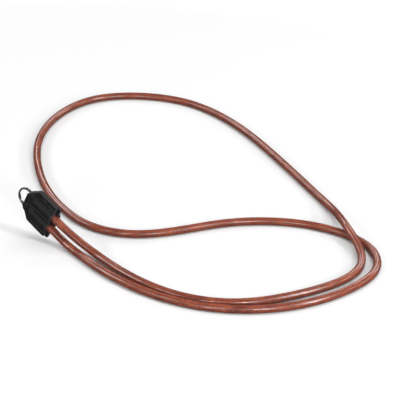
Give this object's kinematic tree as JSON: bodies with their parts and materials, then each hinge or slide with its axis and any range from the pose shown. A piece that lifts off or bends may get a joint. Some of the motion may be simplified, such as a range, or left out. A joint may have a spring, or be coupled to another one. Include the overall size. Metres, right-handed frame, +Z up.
{
  "type": "round leather camera neck cord with a sewn tab and split ring",
  "caption": "Round leather cord laid as a long neck loop, both ends held in the moulded sleeves of a stitched leather tab that hangs on a small split ring.",
  "frame": {"origin": "top of the split ring's bore, midway through its thickness, where the ring hangs on a lug or hook", "axes": "+Z up. +X runs along the tab's face towards the cord, level. +Y is square to the tab, out of its back. The tab slopes 29 degrees below +X, and the loop lies level at z = -0.034"},
  "size_m": [0.3531, 0.2704, 0.0372],
  "materials": {
    "tab_leather": "matte black grain leather with lighter cut edges",
    "ring_steel": "polished spring steel, slightly worn",
    "cord_leather": "oiled red-brown round leather with a fine mottled grain and a soft shine"
  },
  "bodies": {
    "root": {"tab_front": "tab_leather", "tab_back": "tab_leather", "split_ring": "ring_steel", "cord": "cord_leather"}
  },
  "joints": []
}
